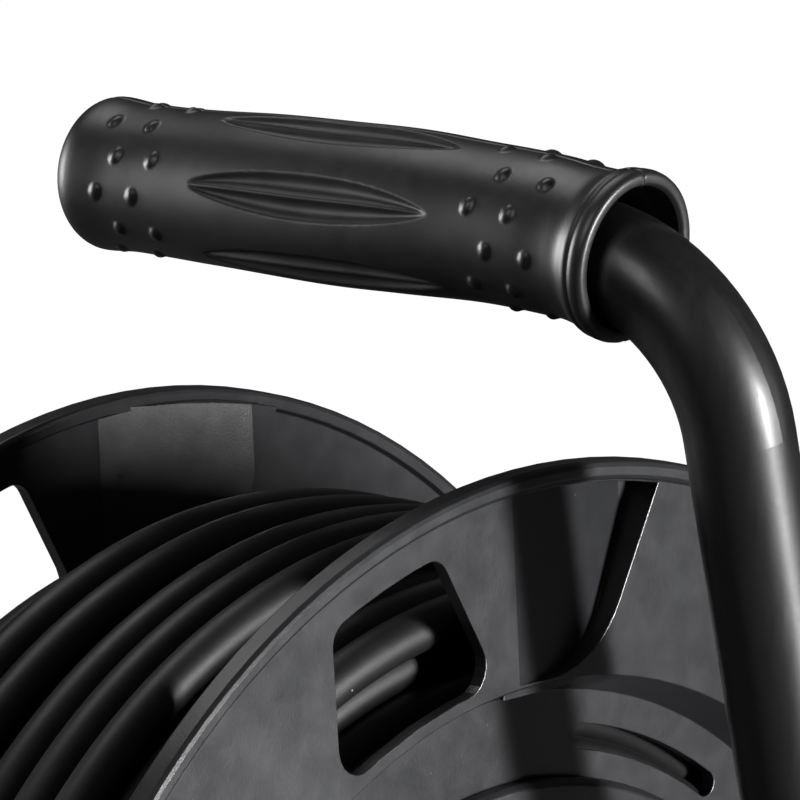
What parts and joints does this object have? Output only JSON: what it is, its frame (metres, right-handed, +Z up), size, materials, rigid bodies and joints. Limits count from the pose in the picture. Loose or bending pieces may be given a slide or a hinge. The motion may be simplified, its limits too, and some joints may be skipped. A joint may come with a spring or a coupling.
{
  "type": "extension cord reel",
  "caption": "Cable reel: rubber cord wound on a spoked-window plastic drum that turns on a bent steel tube stand with a moulded carrying grip.",
  "frame": {"origin": "on the floor under the middle of the drum, at the centre of the whole object's footprint", "axes": "+Z up; Y along the drum's axle, the stand's legs on -Y and the socket panel on +Y; X across the drum"},
  "size_m": [0.32, 0.24, 0.417],
  "materials": {
    "powder_coat": "gloss black powder coat",
    "flange_plastic": "satin dark grey, fine grain",
    "black_plastic": "satin black moulded",
    "grip_plastic": "satin black, fine texture",
    "cable_rubber": "matt black jacket",
    "foot_rubber": "matt black",
    "bush_plastic": "natural white bearing plastic",
    "zinc_steel": "zinc plated",
    "axle_steel": "turned",
    "spring_steel": "drawn wire",
    "contact_brass": "plain",
    "nickel_pins": "nickel plated",
    "button_red": "gloss",
    "ceramic_cream": "cream moulded"
  },
  "bodies": {
    "frame": {"handle_tube": "powder_coat", "brace_tube": "powder_coat", "front_bar": "powder_coat", "joint_sleeves": "zinc_steel", "brace_weld": "powder_coat", "bracket_inner": "black_plastic", "bracket_outer": "black_plastic", "bracket_screws": "zinc_steel", "axle": "axle_steel", "axle_nut": "zinc_steel", "thrust_washer": "zinc_steel", "end_washer": "zinc_steel", "retaining_ring": "spring_steel", "grip_shell_left": "grip_plastic", "grip_shell_right": "grip_plastic", "grip_screws": "zinc_steel", "tube_end_plug": "black_plastic", "rubber_feet": "foot_rubber"},
    "drum": {"rear_flange": "flange_plastic", "front_flange": "flange_plastic", "core_barrel": "flange_plastic", "flange_screws": "zinc_steel", "rear_hub_cover": "flange_plastic", "bush_rear": "bush_plastic", "bush_front": "bush_plastic", "cable_winding": "cable_rubber", "cable_tail": "cable_rubber", "cable_gland": "black_plastic", "inner_lead": "cable_rubber", "terminal_block": "ceramic_cream", "plug_body": "black_plastic", "plug_pins": "nickel_pins", "plug_boot": "cable_rubber", "plug_clip": "black_plastic", "socket_panel": "black_plastic", "socket_inserts": "black_plastic", "socket_contacts": "contact_brass", "earth_clips": "nickel_pins", "panel_screws": "zinc_steel", "lid_pins": "axle_steel", "lid_springs": "spring_steel", "lid_seals": "foot_rubber", "cutout_body": "ceramic_cream", "reset_spring": "spring_steel", "knob_spindle": "axle_steel", "knob_cap": "black_plastic"},
    "lid_1": {"lid_1": "black_plastic"},
    "lid_2": {"lid_2": "black_plastic"},
    "lid_3": {"lid_3": "black_plastic"},
    "lid_4": {"lid_4": "black_plastic"},
    "reset_button": {"reset_button": "button_red"},
    "crank_knob": {"crank_knob": "black_plastic"}
  },
  "joints": [
    {"name": "drum_spin", "type": "hinge", "parent": "frame", "child": "drum", "pos_m": [0, 0, 0.195], "axis": [0, 1, 0], "continuous": true},
    {"name": "lid_1_hinge", "type": "hinge", "parent": "drum", "child": "lid_1", "pos_m": [0.02758, 0.056, 0.24798], "axis": [1, 0, 0], "range_deg": [0, 95], "stiffness_Nm_per_rad": 0.02, "springref_deg": -17.19},
    {"name": "lid_2_hinge", "type": "hinge", "parent": "drum", "child": "lid_2", "pos_m": [-0.02758, 0.056, 0.24798], "axis": [1, 0, 0], "range_deg": [0, 95], "stiffness_Nm_per_rad": 0.02, "springref_deg": -17.19},
    {"name": "lid_3_hinge", "type": "hinge", "parent": "drum", "child": "lid_3", "pos_m": [-0.02758, 0.056, 0.19282], "axis": [1, 0, 0], "range_deg": [0, 95], "stiffness_Nm_per_rad": 0.02, "springref_deg": -17.19},
    {"name": "lid_4_hinge", "type": "hinge", "parent": "drum", "child": "lid_4", "pos_m": [0.02758, 0.056, 0.19282], "axis": [1, 0, 0], "range_deg": [0, 95], "stiffness_Nm_per_rad": 0.02, "springref_deg": -17.19},
    {"name": "reset_push", "type": "slide", "parent": "drum", "child": "reset_button", "axis": [0, -1, 0], "range_m": [0, 0.003], "stiffness_N_per_m": 400, "springref_m": -0.001},
    {"name": "knob_turn", "type": "hinge", "parent": "drum", "child": "crank_knob", "pos_m": [0.10866, 0.078, 0.27838], "axis": [0, 1, 0], "continuous": true}
  ]
}
